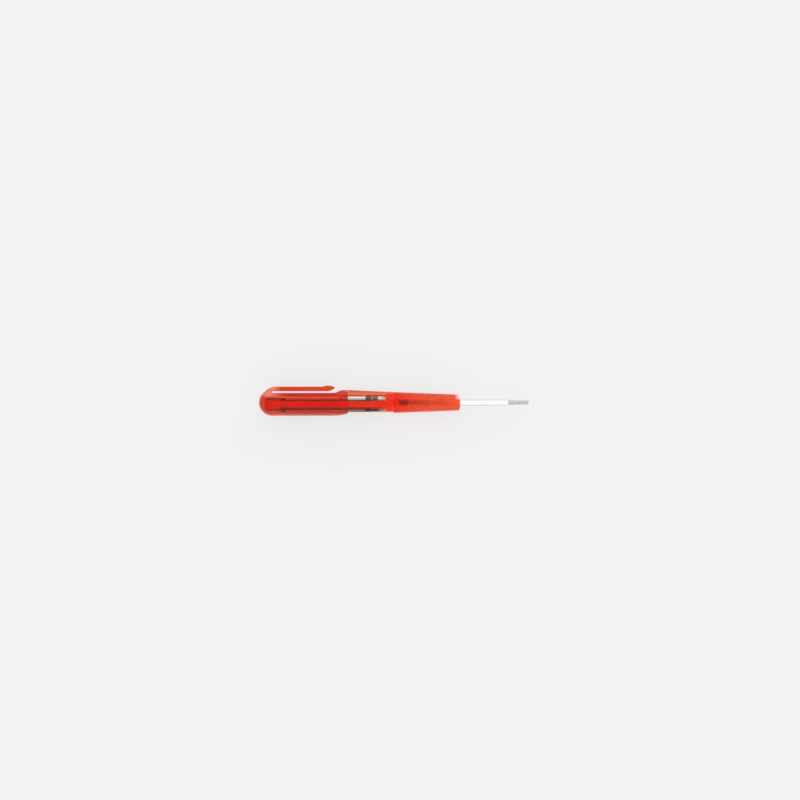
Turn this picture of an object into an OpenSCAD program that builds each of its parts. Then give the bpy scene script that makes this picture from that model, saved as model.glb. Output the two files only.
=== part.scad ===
// Pocket screwdriver: a pen-shaped handle whose clip cap closes over a magazine of double-ended blades.
// The tool's axis runs along X, the driving tip points to +X and the clip lies towards +Y.

/* [Cap] */
// Radius of the cap's round body and of its dome
cap_r = 7.3; // [7.2:0.1:8]
// Length of the cap from the top of its dome to its mouth
cap_l = 49; // [46:0.5:56]
// Wall of the dome
dome_wall = 0.9; // [0.6:0.05:0.95]
// Wall of the cap's round body
cap_wall = 1.35; // [1.3:0.05:1.45]
// Depth by which the belly curves in at the mouth
mouth_drop = 1.2; // [0.6:0.05:1.2]
// Length over which the belly curves in towards the mouth
belly_l = 8; // [6:0.5:12]
// Length of the rounded lip at the mouth
lip_l = 1; // [0.6:0.1:2]
// Thickness of the lip's edge
lip_t = 0.1; // [0.1:0.02:0.14]
// Depth of the flat recess under the clip, below the round
recess_depth = 2.02; // [1.8:0.02:2.5]
// Wall between the recess and the flat inside the cap
recess_wall = 1.18; // [1.1:0.02:1.22]
// Distance from the ramp's foot to the mouth
ramp_start = 7.8; // [7:0.1:12]
// Length of the ramp that closes the recess
ramp_l = 5; // [3:0.1:6]
// Solid wall between the clip's pocket and the inside of the cap
pocket_wall = 0.4; // [0.3:0.05:0.6]

/* [Pocket clip] */
// Height of the clip's outer face over the cap's round
clip_rise = 1.42; // [1.2:0.02:2]
// Thickness of the clip's arm
clip_t = 2.52; // [2:0.02:2.7]
// Width of the clip at its root
clip_w = 5; // [4:0.1:5.5]
// Width of the clip at its knob
clip_end_w = 4.2; // [3:0.1:5]
// Length from the top of the dome to the end of the clip
clip_reach = 41.9; // [34:0.1:44]
// Radius of the bend where the clip leaves the dome
clip_bend_r = 7.5; // [6.5:0.1:9]
// Distance from the top of the dome to the middle of the clip's foot
foot_x = 5.5; // [5.2:0.1:6]
// Radius of the clip's round foot
foot_r = 1.6; // [1.5:0.05:1.7]
// Height of the knob over the clip's outer face
knob_rise = 0.54; // [0.3:0.02:1]
// Length of the knob
knob_l = 6.8; // [5:0.1:9]

/* [Magazine] */
// Depth of the magazine's round core below the inside of the cap
core_drop = 0.75; // [0.55:0.05:0.85]
// Distance from the top of the dome to the stored blades
store_x = 3.75; // [3.7:0.05:6]
// Angle from the clip side to the two far blades
far_angle = 150; // [140:1:154]
// Width of each groove's snap-in mouth
snap_w = 2.7; // [2.5:0.05:2.8]
// Width of the spine between the two near blades
spine_w = 3.4; // [3:0.1:5.4]
// Depth of the spine's rear end below the cap's round
spine_drop = 0.4; // [0.2:0.05:0.6]
// Length of the collar that carries the cap
seat_l = 5; // [3:0.5:8]
// Length of the solid end in front of the grooves
solid_l = 3.9; // [2:0.1:6]
// Chamfer on the rear end of the magazine
core_chamfer = 0.6; // [0.4:0.05:0.9]
// Length of the spigot that plugs into the nose grip behind the magnet
spigot_l = 3.1; // [2:0.1:6]

/* [Nose grip] */
// Radius of the nose grip at its rear face
nose_rear_r = 5.8; // [5.6:0.05:6.2]
// Radius of the nose grip at its front
nose_front_r = 4.45; // [4:0.05:5.2]
// Rounding of the nose grip's front edge
nose_round = 1.3; // [0.6:0.1:1.8]
// Depth from the front of the nose grip to the magnet
socket_depth = 28.4; // [24:0.1:34]

/* [Magnet] */
// Radius of the magnet that holds the blade
magnet_r = 1.5; // [1.45:0.05:2]
// Length of the magnet
magnet_l = 5.1; // [3:0.1:8]

/* [Blades] */
// Diameter of the blades' round shaft
blade_d = 3; // [2.9:0.02:3]
// Length of every blade, from tip to tip
blade_l = 66; // [60:0.5:80]
// Length of the ground tip at each end
tip_l = 4.3; // [3.6:0.1:5.5]
// Length of the turned neck behind each tip
neck_l = 3.4; // [2.5:0.1:4]
// Diameter of the neck
neck_d = 2.1; // [1.6:0.05:2.3]
// Length of the six-sided drive at each end
drive_l = 3.5; // [2.5:0.1:5]
// Chamfer on the front of the drive
drive_chamfer = 0.35; // [0.2:0.05:0.5]
// Width of a wide slotted tip
wide_tip_w = 2.4; // [2.2:0.05:2.5]
// Width of a narrow slotted tip
narrow_tip_w = 2; // [1.6:0.05:2.05]
// Thickness of a slotted tip at its edge
tip_t = 0.44; // [0.3:0.02:0.6]
// Diameter of a cross tip where its cone starts
cross_d = 2.4; // [2.2:0.05:2.5]
// Diameter of a cross tip's blunt point
cross_point_d = 0.7; // [0.5:0.05:1]

/* [Clearances] */
// Gap round the blades, in their bore and in their grooves
blade_gap = 0.05; // [0.03:0.01:0.08]
// Gap between the stored blades and the inside of the cap
store_gap = 0.15; // [0.1:0.01:0.2]
// Gap between the two near blades and the flat inside the cap
near_gap = 0.45; // [0.35:0.05:0.8]
// Gap between the magazine's collar and the inside of the cap
seat_gap = 0.06; // [0.03:0.01:0.09]
// Gap between the magazine's flat and the flat inside the cap
key_gap = 0.1; // [0.05:0.01:0.15]
// Gap between the cap's mouth and the spine's shoulder
stop_gap = 0.1; // [0.05:0.01:0.2]
// Gap round the clip's foot in its pocket
clip_gap = 0.05; // [0.03:0.01:0.08]
// Gap that leaves the clip room to lean back at its root
swing_gap = 0.2; // [0.15:0.01:0.3]
// Gap at each end of a stored blade
end_gap = 0.25; // [0.2:0.01:0.6]
// Gap between the magnet and the blade that it holds
hold_gap = 0.1; // [0.05:0.01:0.2]
// Glue film round the magnet and the spigot, and between the magazine and the nose grip
glue_gap = 0.03; // [0.02:0.01:0.06]

/* [Hidden] */
$fn = 64;
// Length by which every cut runs past the face that it opens
over = 1;
// Number of straight steps in each curve that a formula draws
steps = 10;
// Angle on the foot at which the clip's bend starts
bend_angle = 12;
// Places of the knob's crest and of its lowest point, as shares of its length
crest_share = 0.43;
under_share = 0.34;
// Slope of a cross tip's cone and of its four flutes
cone_angle = 26.5;
flute_angle = 16;
// Length of a slotted tip's hollow grind, as a share of the tip
grind_share = 0.88;

// The blades, their drive and the socket that fits it
blade_r = blade_d / 2;
hole_r = blade_r + blade_gap;
drive_flats = blade_d * cos(30);
socket_flats = drive_flats + blade_gap * 2;
end_l = tip_l + neck_l + drive_l;
grind_r = (pow(tip_l * grind_share, 2) + pow((neck_d - tip_t) / 2, 2)) / (neck_d - tip_t);

// Places along the axis, from the top of the dome
core_x = store_x - end_gap;
groove_end = store_x + blade_l + end_gap;
core_front = groove_end + solid_l;
nose_x = core_front + glue_gap;
nose_end = nose_x + spigot_l + magnet_l + socket_depth;
magnet_x = nose_x + spigot_l;
seat_x = nose_end - socket_depth;
blade_x = seat_x + hold_gap;

// The outside of the cap
recess_h = cap_r - recess_depth;
spine_r = cap_r - spine_drop;
ramp_x = cap_l - ramp_start;

// The inside of the cap
bore_r = cap_r - cap_wall;
ceiling_h = recess_h - recess_wall;
inner_dome_r = cap_r - dome_wall;

// The magazine that runs in the cap, and the stored blades in its grooves
seat_r = bore_r - seat_gap;
core_r = bore_r - core_drop;
flat_h = ceiling_h - key_gap;
pitch_r = bore_r - store_gap - blade_r;
near_angle = acos((ceiling_h - near_gap - blade_r) / pitch_r);

// The clip and its pocket
clip_h = cap_r + clip_rise;
clip_under = clip_h - clip_t;
knob_h = clip_h + knob_rise;
pocket_r = foot_r + clip_gap;
foot_h = ceiling_h + pocket_wall + pocket_r;
recess_x = foot_x + sqrt(pow(pocket_r, 2) - pow(foot_h - recess_h, 2));
bend_h = clip_h - clip_bend_r;
bend_x = foot_x - foot_r * cos(bend_angle)
    + sqrt(pow(clip_bend_r, 2) - pow(foot_h + foot_r * sin(bend_angle) - bend_h, 2));

plastic_red = [0.85, 0.16, 0.1, 0.8];
steel_bright = [0.84, 0.84, 0.86];
steel_dark = [0.32, 0.32, 0.34];

// Puts the middle of the nose grip, where the fingers hold the tool, at the origin
module held() {
    translate([-(nose_x + nose_end) / 2, 0, 0]) children();
}

// Turns an outline drawn as [radius, place along the axis] round the tool's axis
module turned() {
    rotate([0, 90, 0]) rotate_extrude() children();
}

// Runs a section drawn as [towards the clip, up] along the axis from x0 to x1
module along(x0, x1) {
    translate([x0, 0, 0]) rotate([90, 0, 90]) linear_extrude(x1 - x0) children();
}

// Gives an outline drawn as [along the axis, towards the clip] the width w
module across(w) {
    linear_extrude(w, center = true) children();
}

// Round bar on the axis from x0 to x1
module bar(r, x0, x1) {
    translate([x0, 0, 0]) rotate([0, 90, 0]) cylinder(r = r, h = x1 - x0);
}

// Six-sided bar on the axis, flats wide across its flats
module hex_bar(flats, x0, x1) {
    translate([x0, 0, 0]) rotate([0, 90, 0]) cylinder(d = flats / cos(30), h = x1 - x0, $fn = 6);
}

// Half-plane of a section below the height h
module below(h) {
    translate([-2 * cap_r, -2 * cap_r]) square([2 * cap_r + h, 4 * cap_r]);
}

// Strip of a section on the clip side, w wide
module strip(w) {
    translate([0, -w / 2]) square([2 * cap_r, w]);
}

// Radius of the belly's long curve at the distance x past its start
function belly_r(x) = cap_r - mouth_drop * pow(x / belly_l, 2);

// The belly's long curve, from the full radius down to the lip
function belly_points() = [
    for (i = [0:steps]) let (x = (belly_l - lip_l) * i / steps)
        [belly_r(x), cap_l - belly_l + x]
];

// The lip's quarter of an ellipse, from the belly's curve in to the thin edge round the bore
function lip_points() = [
    for (i = [1:steps]) let (angle = 90 * i / steps, edge_r = bore_r + lip_t)
        [edge_r + (belly_r(belly_l - lip_l) - edge_r) * cos(angle), cap_l - lip_l * (1 - sin(angle))]
];

// The ramp at the end of the recess, which rises as a soft S to the spine's height
function ramp_points() = [
    for (i = [0:steps]) let (t = i / steps)
        [ramp_x + ramp_l * t, recess_h + (spine_r - recess_h) * (1 - cos(180 * t)) / 2]
];

module cap_outside() {
    turned() {
        intersection() {
            translate([0, cap_r]) circle(cap_r);
            square([cap_r, cap_r]);
        }
        polygon(concat([[0, cap_r]], [[cap_r, cap_r]], belly_points(), lip_points(), [[0, cap_l]]));
    }
    along(ramp_x, cap_l) intersection() {
        circle(spine_r);
        strip(spine_w);
    }
}

// Dome, round bore and the flat that keeps the cap from turning on the magazine
module cap_inside() {
    intersection() {
        union() {
            translate([cap_r, 0, 0]) sphere(inner_dome_r);
            bar(bore_r, cap_r, cap_l + over);
        }
        along(0, cap_l + over) intersection() {
            circle(bore_r);
            below(ceiling_h);
        }
    }
}

// The flat under the clip and the ramp that ends it, cut right across the cap
module cap_recess() {
    across(4 * cap_r) polygon(concat(
        [[recess_x, 2 * cap_r], [recess_x, recess_h]],
        ramp_points(),
        [[ramp_x + ramp_l, 2 * cap_r]]
    ));
}

// The round pocket for the clip's foot, open where the arm comes out
module cap_pocket() {
    across(clip_w + 2 * clip_gap) translate([foot_x, foot_h]) {
        circle(pocket_r);
        translate([-swing_gap, 0]) square([recess_x - foot_x + swing_gap, cap_r]);
    }
}

module cap() {
    color(plastic_red) held() difference() {
        cap_outside();
        cap_inside();
        cap_recess();
        cap_pocket();
    }
}

// Leaf-shaped knob between two arcs that meet at the clip's end
module knob_outline() {
    knob_x = clip_reach - knob_l;
    crest_x = knob_x + crest_share * knob_l;
    crest_r = (pow(crest_x - knob_x, 2) + pow(knob_rise, 2)) / (2 * knob_rise);
    end_h = knob_h - crest_r + sqrt(pow(crest_r, 2) - pow(clip_reach - crest_x, 2));
    under_x = knob_x + under_share * knob_l;
    under_r = (pow(clip_reach - under_x, 2) + pow(end_h - clip_under, 2)) / (2 * (end_h - clip_under));
    intersection() {
        translate([crest_x, knob_h - crest_r]) circle(crest_r, $fn = 96);
        translate([under_x, clip_under + under_r]) circle(under_r, $fn = 96);
        translate([knob_x, 0]) square([knob_l, 2 * clip_h]);
    }
    translate([foot_x, clip_under]) square([under_x - foot_x, clip_t]);
}

// Side of the clip: round foot, bent arm and knob
module clip_outline() {
    difference() {
        union() {
            translate([foot_x, foot_h]) circle(foot_r);
            translate([foot_x, foot_h]) square([foot_r, clip_h - foot_h]);
            knob_outline();
        }
        difference() {
            translate([-over, bend_h]) square([bend_x + over, clip_h]);
            translate([bend_x, bend_h]) circle(clip_bend_r, $fn = 128);
        }
    }
}

// Face of the clip: full width at the foot, narrower and round at the knob
module clip_face() {
    end_r = clip_end_w / 2;
    end_x = clip_reach - end_r;
    polygon([
        [0, -clip_w / 2], [foot_x + foot_r, -clip_w / 2], [end_x, -end_r],
        [end_x, end_r], [foot_x + foot_r, clip_w / 2], [0, clip_w / 2]
    ]);
    translate([end_x, 0]) circle(end_r);
}

module pocket_clip() {
    color(plastic_red) held() intersection() {
        across(clip_w) clip_outline();
        translate([0, 2 * clip_h, 0]) rotate([90, 0, 0]) linear_extrude(2 * clip_h) clip_face();
    }
}

// Places its children on the middle of a stored blade at the given angle from the clip side
module stored(angle) {
    translate([store_x, pitch_r * cos(angle), pitch_r * sin(angle)]) children();
}

// Round groove for a stored blade, with the narrower mouth that the blade snaps through
module groove(angle) {
    translate([0, pitch_r * cos(angle), pitch_r * sin(angle)]) {
        bar(hole_r, core_x - over, groove_end);
        rotate([angle, 0, 0]) translate([core_x - over, 0, -snap_w / 2])
            cube([groove_end - core_x + over, 2 * blade_d, snap_w]);
    }
}

// Core with a flat on the clip side, and the collar that the cap slides on
module magazine_core() {
    difference() {
        union() {
            turned() polygon([
                [0, core_x], [core_r - core_chamfer, core_x], [core_r, core_x + core_chamfer],
                [core_r, core_front], [0, core_front]
            ]);
            bar(seat_r, cap_l - seat_l, cap_l);
        }
        along(core_x - over, groove_end) difference() {
            circle(2 * core_r);
            below(flat_h);
        }
    }
}

// Spine that carries on the line of the cap's clip side down to the nose grip
module magazine_spine() {
    intersection() {
        turned() polygon([
            [0, cap_l + stop_gap], [spine_r, cap_l + stop_gap], [nose_rear_r, core_front], [0, core_front]
        ]);
        along(cap_l, nose_x) strip(spine_w);
    }
}

module blade_magazine() {
    color(plastic_red) held() {
        difference() {
            union() {
                magazine_core();
                magazine_spine();
            }
            for (angle = [near_angle, far_angle, -near_angle, -far_angle]) groove(angle);
        }
        bar(magnet_r, core_front, magnet_x);
    }
}

// Bore from front to back: shaft hole, six-sided socket, room for the tip, magnet and spigot
module nose_bore() {
    socket_x = blade_x + tip_l + neck_l - blade_gap;
    shaft_x = blade_x + end_l - blade_gap;
    bar(magnet_r + glue_gap, nose_x - over, seat_x);
    bar(socket_flats / 2, nose_x, socket_x);
    hex_bar(socket_flats, socket_x, shaft_x);
    bar(hole_r, shaft_x, nose_end + over);
}

module nose_grip() {
    round_x = nose_end - nose_round;
    round_r = nose_front_r - nose_round;
    color(plastic_red) held() difference() {
        turned() {
            polygon([[0, nose_x], [nose_rear_r, nose_x], [nose_front_r, round_x], [0, round_x]]);
            translate([0, round_x]) square([round_r, nose_round]);
            intersection() {
                translate([round_r, round_x]) circle(nose_round);
                translate([round_r, round_x]) square(nose_round);
            }
        }
        nose_bore();
    }
}

module retaining_magnet() {
    color(steel_dark) held() bar(magnet_r, magnet_x + glue_gap, seat_x);
}

// Slotted tip, edge at 0: a flared bar with two hollow-ground faces
module slotted_tip(w) {
    difference() {
        turned() polygon([[0, 0], [w / 2, 0], [neck_d / 2, tip_l], [0, tip_l]]);
        for (side = [-1, 1]) translate([0, side * (tip_t / 2 + grind_r), 0])
            cylinder(r = grind_r, h = 2 * blade_d, center = true, $fn = 128);
    }
}

// Cross tip, point at 0: a blunt cone with four flutes
module cross_tip() {
    cone_l = (cross_d - cross_point_d) / 2 / tan(cone_angle);
    difference() {
        turned() polygon([
            [0, 0], [cross_point_d / 2, 0], [cross_d / 2, cone_l], [neck_d / 2, tip_l], [0, tip_l]
        ]);
        for (turn = [0:90:270]) rotate([turn + 45, 0, 0]) translate([0, 0, cross_point_d / 4])
            rotate([0, -flute_angle, 0]) translate([-over, 0, 0]) rotate([45, 0, 0])
                cube([2 * tip_l + over, blade_d, blade_d]);
    }
}

// Neck and six-sided drive behind a tip
module drive_end() {
    drive_x = tip_l + neck_l;
    bar(neck_d / 2, tip_l, drive_x);
    intersection() {
        hex_bar(drive_flats, drive_x, end_l);
        turned() polygon([
            [0, drive_x], [blade_r - drive_chamfer, drive_x], [blade_r, drive_x + drive_chamfer],
            [blade_r, end_l], [0, end_l]
        ]);
    }
}

// Double-ended blade, rear tip at 0; the first child is the rear tip and the second the front tip
module blade() {
    drive_end();
    children(0);
    bar(blade_r, end_l, blade_l - end_l);
    translate([blade_l, 0, 0]) mirror([1, 0, 0]) {
        drive_end();
        children(1);
    }
}

module driver_blade() {
    color(steel_bright) held() translate([blade_x, 0, 0]) blade() {
        cross_tip();
        rotate([90, 0, 0]) slotted_tip(wide_tip_w);
    }
}

module stored_blade_1() {
    color(steel_bright) held() stored(near_angle) blade() {
        slotted_tip(narrow_tip_w);
        cross_tip();
    }
}

module stored_blade_2() {
    color(steel_bright) held() stored(far_angle) blade() {
        slotted_tip(narrow_tip_w);
        slotted_tip(wide_tip_w);
    }
}

module stored_blade_3() {
    color(steel_bright) held() stored(-near_angle) blade() {
        slotted_tip(narrow_tip_w);
        cross_tip();
    }
}

module stored_blade_4() {
    color(steel_bright) held() stored(-far_angle) blade() {
        slotted_tip(narrow_tip_w);
        slotted_tip(wide_tip_w);
    }
}

nose_grip();
blade_magazine();
retaining_magnet();
cap();
pocket_clip();
driver_blade();
stored_blade_1();
stored_blade_2();
stored_blade_3();
stored_blade_4();
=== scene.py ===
import bpy
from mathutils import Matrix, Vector


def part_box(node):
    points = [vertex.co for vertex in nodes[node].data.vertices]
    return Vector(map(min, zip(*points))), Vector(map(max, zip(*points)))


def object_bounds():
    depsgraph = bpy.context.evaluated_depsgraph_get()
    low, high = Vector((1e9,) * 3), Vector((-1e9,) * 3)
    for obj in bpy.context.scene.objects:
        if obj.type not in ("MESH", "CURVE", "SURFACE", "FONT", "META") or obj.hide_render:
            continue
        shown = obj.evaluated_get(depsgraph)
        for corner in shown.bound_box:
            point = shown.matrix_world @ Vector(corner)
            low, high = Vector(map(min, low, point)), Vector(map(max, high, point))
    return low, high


# Looks of a clear red pocket screwdriver with spare blades in its handle. Lengths are in metres.

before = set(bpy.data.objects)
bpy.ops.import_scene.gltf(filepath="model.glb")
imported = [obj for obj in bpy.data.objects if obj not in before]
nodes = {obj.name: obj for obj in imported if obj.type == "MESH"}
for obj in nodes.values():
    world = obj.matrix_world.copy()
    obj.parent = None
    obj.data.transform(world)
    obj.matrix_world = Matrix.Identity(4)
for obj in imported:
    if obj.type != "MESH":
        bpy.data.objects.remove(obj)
cadLow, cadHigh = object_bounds()
print("frame loaded:", len(nodes), "nodes")


class Wire:  # an output socket that can be used in sums
    def __init__(self, tree, socket=None):
        self.tree = tree
        self.socket = socket

    def node(self, kind, settings=None, values=None, out=0):
        made = self.tree.nodes.new("ShaderNode" + kind)
        for name, value in (settings or {}).items():
            setattr(made, name, value)
        for name, value in (values or {}).items():
            if isinstance(value, Wire):
                self.tree.links.new(value.socket, made.inputs[name])
            else:
                made.inputs[name].default_value = value
        return Wire(self.tree, made.outputs[out])

    def maths(self, operation, first, second=0.0, third=0.0):
        return self.node("Math", {"operation": operation}, {0: first, 1: second, 2: third})

    def feeds(self, socket):
        self.tree.links.new(self.socket, socket)

    def __add__(self, other):
        return self.maths("ADD", self, other)

    def __radd__(self, other):
        return self.maths("ADD", other, self)

    def __sub__(self, other):
        return self.maths("SUBTRACT", self, other)

    def __rsub__(self, other):
        return self.maths("SUBTRACT", other, self)

    def __mul__(self, other):
        return self.maths("MULTIPLY", self, other)

    def __rmul__(self, other):
        return self.maths("MULTIPLY", other, self)

    def __gt__(self, other):
        return self.maths("GREATER_THAN", self, other)

    def __lt__(self, other):
        return self.maths("LESS_THAN", self, other)


def grey(level):
    return (level, level, level, 1.0)


def limited(value):  # keeps a sum between 0 and 1
    value.socket.node.use_clamp = True
    return value


def faded(value, start, length):  # 0 up to the start, then rises to 1 over the length
    return limited((value - start) * (1.0 / length))


def blended(wire, share, first, second):  # mixes two colours
    return wire.node("Mix", {"data_type": "RGBA"}, {0: share, 6: first, 7: second}, 2)


def newMaterial(name):
    made = bpy.data.materials.new(name)
    made.use_nodes = True
    tree = made.node_tree
    tree.nodes.clear()
    output = tree.nodes.new("ShaderNodeOutputMaterial")
    return made, Wire(tree), output


def objectPlace(wire):
    return wire.node("TexCoord", out=3)


def placeParts(wire):  # along the tool, across it towards the clip, and up
    split = wire.node("SeparateXYZ", values={0: objectPlace(wire)}).socket.node
    return [Wire(wire.tree, split.outputs[number]) for number in (0, 1, 2)]


def cloudy(wire, scale, detail, stretch=(1.0, 1.0, 1.0)):
    place = wire.node("Mapping", values={"Vector": objectPlace(wire), "Scale": stretch})
    return wire.node("TexNoise", values={"Vector": place, "Scale": scale, "Detail": detail})


def dress(node, material):
    mesh = nodes[node].data
    mesh.materials.clear()
    mesh.materials.append(material)


# The clear red plastic gets its colour from its depth: thin walls look orange and thick ones deep red
plastic = {
    "throughLight": (0.96, 0.70, 0.64, 1.0),
    "straight": 0.25,  # share of the light that goes straight on, without bending
    "highlightPatch": 0.30,  # roughness of the painted highlight patch
    "ripple": 0.0000012,
    "rippleStrength": 0.2,
    "rippleScale": 350.0,
    "rippleDetail": 2.0,
    "rippleStretch": (0.35, 1.0, 1.0),
    "smudgeScale": 240.0,
    "smudgeDetail": 4.0,
}

capLook = {
    "tint": (0.985, 0.285, 0.165, 1.0),
    "hazy": (0.965, 0.26, 0.15, 1.0),
    "deep": (0.88, 0.12, 0.055, 1.0),
    "deepLength": 0.0065,
    # painted highlight on the cap's shoulder beside the clip's foot
    "paintedHighlight": {
        "tone": (1.0, 0.61, 0.48, 1.0),
        "share": 0.40,
        "middle": -0.0868,
        "length": 0.0075,
        "above": 0.0028,
        "fade": 0.0010,
    },
    "gloss": (1.0, 0.55, 0.46, 1.0),
    "ior": 1.33,
    "clear": 0.975,
    "absorbed": (0.96, 0.10, 0.02, 1.0),
    "density": 165.0,
    "roughness": 0.10,
    "smudge": 0.06,
}

clipLook = {
    "tint": (1.0, 0.30, 0.18, 1.0),
    "hazy": (0.98, 0.27, 0.16, 1.0),
    # painted highlight at the clip's foot
    "paintedHighlight": {
        "tone": (1.0, 0.66, 0.52, 1.0),
        "share": 0.45,
        "middle": -0.0850,
        "length": 0.0048,
        "above": 0.0060,
        "fade": 0.0008,
    },
    "gloss": (1.0, 0.40, 0.30, 1.0),
    "ior": 1.42,
    "clear": 0.93,
    "absorbed": (0.91, 0.40, 0.15, 1.0),
    "density": 650.0,
    "roughness": 0.12,
    "smudge": 0.06,
}

magazineLook = {
    "tint": (1.0, 0.74, 0.50, 1.0),
    "hazy": (0.98, 0.68, 0.46, 1.0),
    "ridge": {"tone": (0.88, 0.34, 0.26, 1.0), "above": 0.0047, "fade": 0.0016},
    "gloss": (1.0, 0.40, 0.30, 1.0),
    "ior": 1.42,
    "clear": 0.985,
    "absorbed": (0.996, 0.40, 0.11, 1.0),
    "density": 548.0,
    "roughness": 0.12,
    "smudge": 0.08,
}

noseLook = {
    "tint": (1.0, 0.52, 0.29, 1.0),
    "hazy": (0.98, 0.48, 0.265, 1.0),
    "deep": (1.0, 0.11, 0.045, 1.0),
    "deepLength": 0.016,
    # painted highlight on the nose's front corner
    "paintedHighlight": {
        "tone": (1.0, 0.90, 0.87, 1.0),
        "share": 0.95,
        "middle": 0.0183,
        "length": 0.0030,
        "above": 0.0012,
        "fade": 0.0014,
    },
    "gloss": (1.0, 0.40, 0.30, 1.0),
    "ior": 1.42,
    "clear": 0.94,
    "absorbed": (0.98, 0.30, 0.05, 1.0),
    "density": 300.0,
    "roughness": 0.10,
    "smudge": 0.06,
}


def clearRed(name, node, look):
    made, wire, output = newMaterial(name)
    smudges = cloudy(wire, plastic["smudgeScale"], plastic["smudgeDetail"])
    ripples = cloudy(wire, plastic["rippleScale"], plastic["rippleDetail"], plastic["rippleStretch"])
    bump = wire.node("Bump", values={
        "Strength": plastic["rippleStrength"],
        "Distance": plastic["ripple"],
        "Height": ripples,
    })
    along, across = placeParts(wire)[:2]
    tone = blended(wire, smudges, look["tint"], look["hazy"])
    if "deep" in look:  # the rear end is a deeper red
        rear = limited(1.0 - (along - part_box(node)[0].x) * (1.0 / look["deepLength"]))
        tone = blended(wire, rear, tone, look["deep"])
    if "ridge" in look:  # the spine's outer edge is too
        ridge = look["ridge"]
        tone = blended(wire, faded(across, ridge["above"], ridge["fade"]), tone, ridge["tone"])
    shell = wire.node("BsdfPrincipled", values={
        "Base Color": tone,
        "Roughness": look["roughness"] + look["smudge"] * smudges,
        "IOR": look["ior"],
        "Specular Tint": look["gloss"],
        "Transmission Weight": look["clear"],
        "Normal": bump,
    })
    if "paintedHighlight" in look:  # painted highlight: a pale patch on a corner at the clip's side, standing in for a lamp's glint
        paintedHighlight = look["paintedHighlight"]
        near = limited(1.0 - wire.maths("ABSOLUTE", along - paintedHighlight["middle"]) * (1.0 / paintedHighlight["length"]))
        side = faded(across, paintedHighlight["above"], paintedHighlight["fade"])
        highlightPatch = wire.node("BsdfPrincipled", values={
            "Base Color": paintedHighlight["tone"],
            "Roughness": plastic["highlightPatch"],
        })
        shell = wire.node("MixShader", values={0: near * side * paintedHighlight["share"], 1: shell, 2: highlightPatch})
    passing = wire.node("BsdfTransparent", values={"Color": plastic["throughLight"]})
    toLamp = wire.node("LightPath", out="Is Shadow Ray")
    share = wire.maths("MAXIMUM", toLamp, plastic["straight"])
    wire.node("MixShader", values={0: share, 1: shell, 2: passing}).feeds(output.inputs["Surface"])
    body = wire.node("VolumeAbsorption", values={"Color": look["absorbed"], "Density": look["density"]})
    body.feeds(output.inputs["Volume"])
    return made


dress("cap", clearRed("capRed", "cap", capLook))
dress("pocket_clip", clearRed("clipRed", "pocket_clip", clipLook))
dress("blade_magazine", clearRed("magazineRed", "blade_magazine", magazineLook))
dress("nose_grip", clearRed("noseRed", "nose_grip", noseLook))
print("red plastic pieces dressed")

blade = {
    "grooveDepth": 0.0051,  # from the tool's axis: nearer to it the shafts get painted shade, a dim red standing in for the groove's shadow and the plastic's reflection
    "grooveMouth": 0.00575,  # from here outwards they are bright
    "endLength": 0.0112,  # tip, neck and drive together
    "neckLength": 0.0034,
    "tipLength": 0.0043,
    "grindLine": 0.0001,
    "shadeStripeWidth": 0.00038,
    "socketFade": 0.012,
    "highlightSide": 0.00035,
    "lineScale": 900.0,  # the fine drawing lines along the bar
    "lineDetail": 4.0,
    "lineStretch": (0.04, 1.0, 1.0),
    "lineDepth": 0.00001,
    "lineStrength": 0.2,
    "lineRoughness": 0.06,
    "wearScale": 600.0,
    "wearDetail": 5.0,
}

spareLook = {
    "plated": (0.63, 0.555, 0.54, 1.0),
    "brushedTone": (0.55, 0.48, 0.465, 1.0),
    # dim tone for the painted shade deep in the grooves
    "dimTone": (0.20, 0.10, 0.08, 1.0),
    "platedMetal": 0.90,
    "endMetal": 0.60,
    "platedRoughness": 0.30,
    "endRoughness": 0.36,
    "drive": (0.055, 0.04, 0.032, 1.0),
    "driveWorn": (0.11, 0.08, 0.065, 1.0),
    "neck": (0.20, 0.165, 0.16, 1.0),
    "tip": (0.80, 0.78, 0.77, 1.0),
    "rearTip": (0.72, 0.66, 0.64, 1.0),
    # dark stripe of painted shade on one flank of the rear tips
    "shadeStripe": (0.03, 0.02, 0.015, 1.0),
    "shadeStripeOffset": -0.0002,
    "edge": (0.80, 0.79, 0.78, 1.0),
    "rim": (1.0, 1.0, 1.0, 1.0),
}

# the near pair gets a painted highlight on the outer side of its hidden ends
nearLook = dict(spareLook, highlightBand=(0.80, 0.66, 0.60, 1.0))  # the pair next to the clip

shadedSpareLook = dict(  # the pair away from the clip is a copy painted in shade and red reflection, darker and redder, nearly black at its ends
    spareLook,
    plated=(0.38, 0.155, 0.13, 1.0),
    brushedTone=(0.32, 0.125, 0.10, 1.0),
    dimTone=(0.12, 0.04, 0.03, 1.0),
    drive=(0.03, 0.018, 0.012, 1.0),
    driveWorn=(0.06, 0.04, 0.03, 1.0),
    neck=(0.11, 0.06, 0.05, 1.0),
    tip=(0.30, 0.15, 0.12, 1.0),
    rearTip=(0.50, 0.36, 0.33, 1.0),
    shadeStripeOffset=-0.0003,
    edge=(0.30, 0.24, 0.23, 1.0),
    rim=(0.60, 0.40, 0.36, 1.0),
)

driverLook = dict(
    spareLook,
    plated=(0.92, 0.92, 0.92, 1.0),
    brushedTone=(0.86, 0.86, 0.86, 1.0),
    dimTone=(0.60, 0.49, 0.465, 1.0),
    platedMetal=0.80,
    platedRoughness=0.22,
    endMetal=0.35,
    drive=(0.46, 0.44, 0.445, 1.0),
    driveWorn=(0.53, 0.51, 0.515, 1.0),
    neck=(0.53, 0.50, 0.505, 1.0),
    tip=(0.57, 0.545, 0.55, 1.0),
    rearTip=(0.45, 0.40, 0.38, 1.0),
    rim=(0.02, 0.02, 0.02, 1.0),
)


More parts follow.
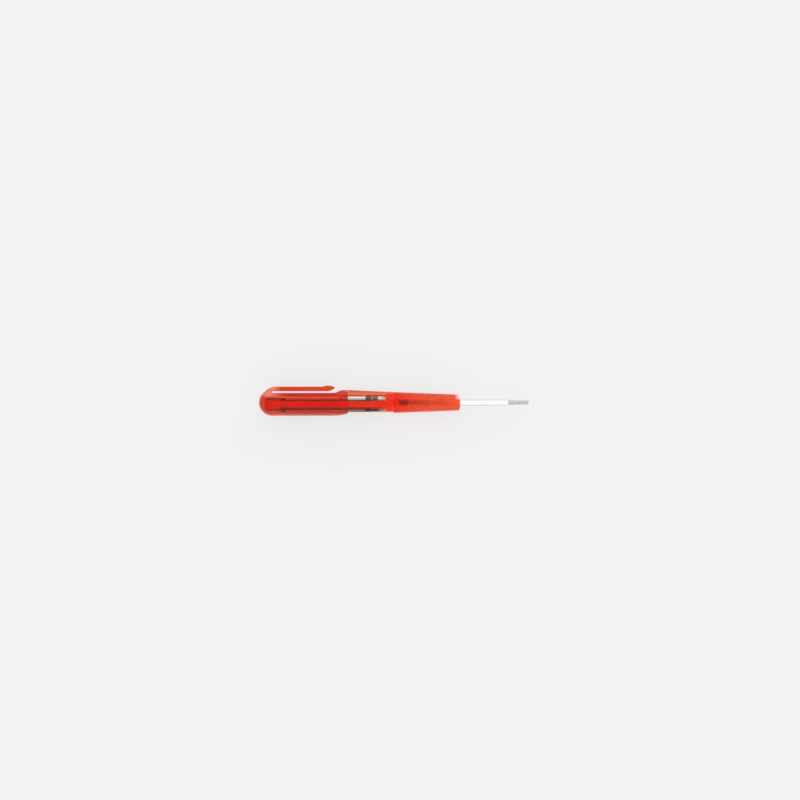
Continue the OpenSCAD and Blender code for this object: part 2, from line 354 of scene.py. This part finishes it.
def bladeSteel(name, node, look):
    low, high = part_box(node)
    middle = (low.y + high.y) / 2
    endMark, tipMark = blade["endLength"], blade["tipLength"]
    neckMark = tipMark + blade["neckLength"]
    made, wire, output = newMaterial(name)
    along, across, up = placeParts(wire)
    fromRear = along - low.x
    fromTip = wire.maths("MINIMUM", fromRear, high.x - along)
    lines = cloudy(wire, blade["lineScale"], blade["lineDetail"], blade["lineStretch"])
    worn = cloudy(wire, blade["wearScale"], blade["wearDetail"])
    tone = blended(wire, lines, look["plated"], look["brushedTone"])
    if node == "driver_blade":  # painted shade and red reflection where it sits in the nose grip
        paintedShade = limited((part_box("nose_grip")[1].x - along) * (1.0 / blade["socketFade"]))
    else:
        # painted shade: dimmer nearer the tool's axis, deep in the grooves
        reach = wire.maths("POWER", across * across + up * up, 0.5)  # distance from the tool's axis
        fade = blade["grooveMouth"] - blade["grooveDepth"]
        paintedShade = limited((blade["grooveMouth"] - reach) * (1.0 / fade))
    tone = blended(wire, paintedShade, tone, look["dimTone"])
    atEnd = fromTip < endMark
    tone = blended(wire, atEnd, tone, blended(wire, lines, look["drive"], look["driveWorn"]))
    tone = blended(wire, fromTip < neckMark, tone, blended(wire, worn, look["neck"], look["drive"]))
    tone = blended(wire, fromTip < tipMark, tone, blended(wire, worn, look["tip"], look["neck"]))
    atRear = fromRear < neckMark
    tone = blended(wire, atRear, tone, look["rearTip"])
    if node != "driver_blade":  # painted shade: the rear tips get a dark stripe along one flank
        shadeStripe = wire.maths("COMPARE", across, middle + look["shadeStripeOffset"], blade["shadeStripeWidth"])
        tone = blended(wire, atRear * shadeStripe, tone, look["shadeStripe"])
    if "highlightBand" in look:  # painted highlight: the hidden ends are bright on their outer side
        outer = across > middle + blade["highlightSide"]
        tone = blended(wire, (fromRear < endMark) * outer, tone, look["highlightBand"])
    atLine = wire.maths("COMPARE", fromTip, neckMark, blade["grindLine"])
    tone = blended(wire, atLine, tone, look["edge"])
    steel = wire.node("BsdfPrincipled", values={
        "Base Color": tone,
        "Metallic": look["platedMetal"] + (look["endMetal"] - look["platedMetal"]) * atEnd,
        "Roughness": look["platedRoughness"] + blade["lineRoughness"] * lines
        + (look["endRoughness"] - look["platedRoughness"]) * atEnd,
        "Specular Tint": look["rim"],
        "Normal": wire.node("Bump", values={
            "Strength": blade["lineStrength"],
            "Distance": blade["lineDepth"],
            "Height": lines,
        }),
    })
    steel.feeds(output.inputs["Surface"])
    return made


dress("driver_blade", bladeSteel("driverSteel", "driver_blade", driverLook))
for number in (1, 2, 3, 4):
    spare = "stored_blade_" + str(number)
    spareLow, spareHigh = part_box(spare)
    look = shadedSpareLook if spareLow.y + spareHigh.y < 0 else nearLook
    dress(spare, bladeSteel("spareSteel" + str(number), spare, look))
print("blades dressed")

magnetLook = {
    "dimTone": (0.11, 0.08, 0.05, 1.0),
    "worn": (0.19, 0.145, 0.10, 1.0),
    "metal": 0.5,
    "roughness": 0.42,
    "mottling": 0.15,
    "mottleScale": 1200.0,
    "mottleDetail": 4.0,
}


def magnetSkin():
    made, wire, output = newMaterial("magnetSkin")
    mottled = cloudy(wire, magnetLook["mottleScale"], magnetLook["mottleDetail"])
    nickel = wire.node("BsdfPrincipled", values={
        "Base Color": blended(wire, mottled, magnetLook["dimTone"], magnetLook["worn"]),
        "Metallic": magnetLook["metal"],
        "Roughness": magnetLook["roughness"] + magnetLook["mottling"] * mottled,
    })
    nickel.feeds(output.inputs["Surface"])
    return made


dress("retaining_magnet", magnetSkin())
print("materials made:", len(bpy.data.materials))

card = {
    "colour": grey(0.863),
    "glow": 0.80,  # share of the card that shows its own tone, the rest takes light and shadow
    "half": 3.0,
}


def makeFloor():
    half, height = card["half"], cadLow.z
    mesh = bpy.data.meshes.new("floor")
    corners = [(-half, -half, height), (half, -half, height), (half, half, height), (-half, half, height)]
    mesh.from_pydata(corners, [], [(0, 1, 2, 3)])
    floor = bpy.data.objects.new("floor", mesh)
    bpy.context.scene.collection.objects.link(floor)
    made, wire, output = newMaterial("paleCard")
    matt = wire.node("BsdfDiffuse", values={"Color": card["colour"]})
    shown = wire.node("Emission", values={"Color": card["colour"], "Strength": 1.0})
    seen = wire.node("LightPath", out="Is Camera Ray")
    mirrored = wire.node("LightPath", out="Is Glossy Ray")
    through = wire.node("LightPath", out="Is Transmission Ray")
    share = card["glow"] * wire.maths("MINIMUM", seen + mirrored + through, 1.0)
    wire.node("MixShader", values={0: share, 1: matt, 2: shown}).feeds(output.inputs["Surface"])
    mesh.materials.append(made)


studio = {
    "skyTop": 1.0,
    "skyEdge": 0.65,
    "key": {"place": (-0.02, 1.20, 0.95), "size": (3.0, 1.2), "power": 9.0},
    "fill": {"place": (-0.02, -1.30, 0.60), "size": (3.0, 1.6), "power": 7.0},
    "frontGlint": {"place": (1.40, 1.25, 0.55), "size": (0.3, 0.3), "power": 4.0},
    "rearGlint": {"place": (-1.40, 1.25, 0.55), "size": (0.3, 0.3), "power": 3.0},
}


def makeLamp(name, lampLook):
    data = bpy.data.lights.new(name, "AREA")
    data.shape = "RECTANGLE"
    data.size, data.size_y = lampLook["size"]
    data.energy = lampLook["power"]
    lamp = bpy.data.objects.new(name, data)
    bpy.context.scene.collection.objects.link(lamp)
    lamp.location = lampLook["place"]
    lamp.rotation_mode = "QUATERNION"
    lamp.rotation_quaternion = Vector(lampLook["place"]).to_track_quat("Z", "Y")


def makeSky():
    world = bpy.data.worlds.new("studio")
    bpy.context.scene.world = world
    world.use_nodes = True
    wire = Wire(world.node_tree)
    height = wire.node("SeparateXYZ", values={0: wire.node("TexCoord")}, out=2)
    upward = wire.maths("MAXIMUM", height, 0.0)
    level = studio["skyEdge"] + (studio["skyTop"] - studio["skyEdge"]) * upward
    back = world.node_tree.nodes["Background"]
    back.inputs["Color"].default_value = grey(1.0)
    level.feeds(back.inputs["Strength"])


photo = {
    "pixelSize": 0.00055,  # metres to a pixel at the tool's axis
    "side": 800,
    "axisRow": 402.5,
    "rearColumn": 259.0,
    "lens": 200.0,
    "sensor": 36.0,
    "nearest": 0.1,
    "farthest": 20.0,
}


def makeCamera():
    data = bpy.data.cameras.new("photoCamera")
    data.lens = photo["lens"]
    data.sensor_width = photo["sensor"]
    data.clip_start = photo["nearest"]
    data.clip_end = photo["farthest"]
    camera = bpy.data.objects.new("photoCamera", data)
    bpy.context.scene.collection.objects.link(camera)
    bladeLow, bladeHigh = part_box("driver_blade")
    axis = (bladeLow + bladeHigh) / 2
    middle = photo["side"] / 2
    camera.location = (
        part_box("cap")[0].x + (middle - photo["rearColumn"]) * photo["pixelSize"],
        axis.y + (photo["axisRow"] - middle) * photo["pixelSize"],
        axis.z + photo["side"] * photo["pixelSize"] * photo["lens"] / photo["sensor"],
    )
    bpy.context.scene.camera = camera


makeFloor()
for lamp in ("key", "fill", "frontGlint", "rearGlint"):
    makeLamp(lamp, studio[lamp])
makeSky()
makeCamera()
bpy.context.scene.view_settings.view_transform = "Standard"
print("studio ready")
